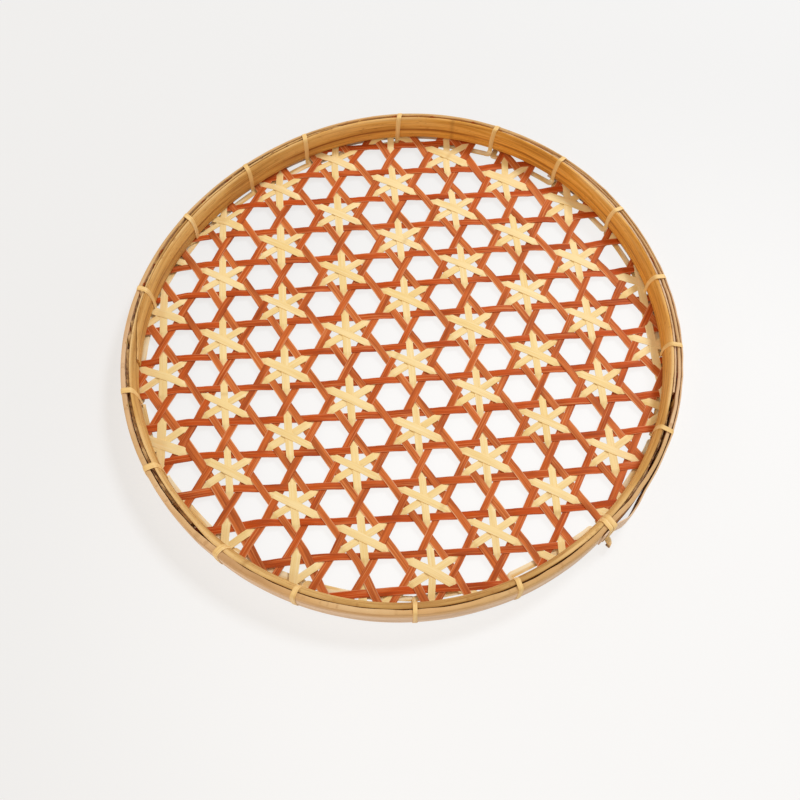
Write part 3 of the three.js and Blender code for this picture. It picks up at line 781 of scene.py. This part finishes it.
studio = {   # in metres
    "floorSize": 4.0, "floor": "#f0f3f6", "floorRough": 0.9, "floorShine": 0.1,
    # more plain white inside the rim is painted light that fades the shadows under the mat
    "white": "#fffdfb", "whiteness": (0.86, 0.64), "whiteFrom": 0.162, "whiteTo": 0.200,   # inside the rim, outside
    # the white glows brightest round one point and dimmer away from it: a painted pool of light
    "lightPool": (1.0, 0.875), "lightPoolFrom": 0.16, "lightPoolTo": 0.45, "lightPoolMiddle": (0.14, -0.20, 0.0),
    "worldLight": 0.60, "worldColour": "#fff9f0",
    "skySeen": "#e1e0dd",   # the tone of the far paper, so that no edge of the floor shows
    "lamps": {   # watts, size, colour, place
        "softKey": (26.5, 0.5, "#f3f8ff", (1.1, 1.0, 1.7)), "softFill": (8.0, 1.2, "#ffdcb4", (-1.7, -0.8, 0.8)),
    },
}
photo = {   # in mm above the mat, with the directions of the picture
    "place": (-15.0, -279.15, 550.13), "right": (0.99733, -0.07207, -0.01160),
    "up": (0.07063, 0.91270, 0.40249), "forward": (0.01842, 0.40223, -0.91535), "lens": 42.75,
}


def seenStraight(tree):
    # 1 for rays from the camera, also by way of gloss or glass
    path = addNode(tree, "ShaderNodeLightPath")
    direct = addNode(tree, "ShaderNodeMath", operation="MAXIMUM",
                     links={0: path.outputs["Is Camera Ray"], 1: path.outputs["Is Glossy Ray"]})
    direct = addNode(tree, "ShaderNodeMath", operation="MAXIMUM",
                     links={0: direct.outputs["Value"], 1: path.outputs["Is Transmission Ray"]})
    return direct.outputs["Value"]


def whitePaper():
    # matt paper, which the camera sees partly as plain white, so that the shadows on it stay faint; this white is
    # painted light, larger inside the rim and brightest round one point, a painted pool of light
    paper = bpy.data.materials.new("whitePaper")
    paper.use_nodes = True
    tree = paper.node_tree
    shader = tree.nodes["Principled BSDF"]
    shader.inputs["Base Color"].default_value = toLinear(studio["floor"])
    shader.inputs["Roughness"].default_value = studio["floorRough"]
    shader.inputs["Specular IOR Level"].default_value = studio["floorShine"]
    place = addNode(tree, "ShaderNodeTexCoord")
    fromMat = addNode(tree, "ShaderNodeVectorMath", links={0: place.outputs["Object"]}, operation="LENGTH")
    inRim, outside = studio["whiteness"]
    whiteness = addNode(tree, "ShaderNodeMapRange",
                        {"From Min": studio["whiteFrom"], "From Max": studio["whiteTo"],
                         "To Min": inRim, "To Max": outside}, {"Value": fromMat.outputs["Value"]})
    share = addNode(tree, "ShaderNodeMath", operation="MULTIPLY",
                    links={0: seenStraight(tree), 1: whiteness.outputs["Result"]})
    away = addNode(tree, "ShaderNodeVectorMath", {1: studio["lightPoolMiddle"]}, {0: place.outputs["Object"]},
                   operation="DISTANCE")
    near, far = studio["lightPool"]
    lightPool = addNode(tree, "ShaderNodeMapRange",
                    {"From Min": studio["lightPoolFrom"], "From Max": studio["lightPoolTo"], "To Min": near, "To Max": far},
                    {"Value": away.outputs["Value"]}, interpolation_type="SMOOTHSTEP")
    white = addNode(tree, "ShaderNodeEmission", {"Color": toLinear(studio["white"])},
                    {"Strength": lightPool.outputs["Result"]})
    mixed = addNode(tree, "ShaderNodeMixShader", links={0: share.outputs["Value"], 1: shader.outputs["BSDF"],
                                                        2: white.outputs["Emission"]})
    tree.links.new(mixed.outputs["Shader"], tree.nodes["Material Output"].inputs["Surface"])
    return paper


def layFloor():
    bm = bmesh.new()
    bmesh.ops.create_grid(bm, x_segments=1, y_segments=1, size=studio["floorSize"])
    mesh = bpy.data.meshes.new("floor")
    bm.to_mesh(mesh)
    bm.free()
    mesh.materials.append(whitePaper())
    floor = bpy.data.objects.new("floor", mesh)
    bpy.context.scene.collection.objects.link(floor)


def lightStudio():
    world = bpy.data.worlds.new("studioSky")
    bpy.context.scene.world = world
    world.use_nodes = True
    tree = world.node_tree
    background = tree.nodes["Background"]
    background.inputs["Color"].default_value = toLinear(studio["worldColour"])
    background.inputs["Strength"].default_value = studio["worldLight"]
    sky = addNode(tree, "ShaderNodeBackground", {"Color": toLinear(studio["skySeen"]), "Strength": 1.0})
    mixed = addNode(tree, "ShaderNodeMixShader", links={0: seenStraight(tree), 1: background.outputs["Background"],
                                                        2: sky.outputs["Background"]})
    tree.links.new(mixed.outputs["Shader"], tree.nodes["World Output"].inputs["Surface"])
    for name, (power, size, colour, spot) in studio["lamps"].items():
        light = bpy.data.lights.new(name, "AREA")
        light.energy = power
        light.size = size
        light.color = toLinear(colour)[:3]
        lamp = bpy.data.objects.new(name, light)
        lamp.location = spot
        lamp.rotation_euler = (-lamp.location).to_track_quat("-Z", "Y").to_euler()
        bpy.context.scene.collection.objects.link(lamp)


def setCamera():
    lens = bpy.data.cameras.new("photoCamera")
    lens.lens = photo["lens"]
    camera = bpy.data.objects.new("photoCamera", lens)
    turn = Matrix((photo["right"], photo["up"], -Vector(photo["forward"]))).transposed().to_4x4()
    place = Vector(photo["place"]) + Vector((0, 0, weave["matHeight"]))
    camera.matrix_world = Matrix.Translation(place / 1000) @ turn
    bpy.context.scene.collection.objects.link(camera)
    bpy.context.scene.camera = camera
    bpy.context.scene.view_settings.view_transform = "Standard"


layFloor()
lightStudio()
setCamera()
print("scene ready")
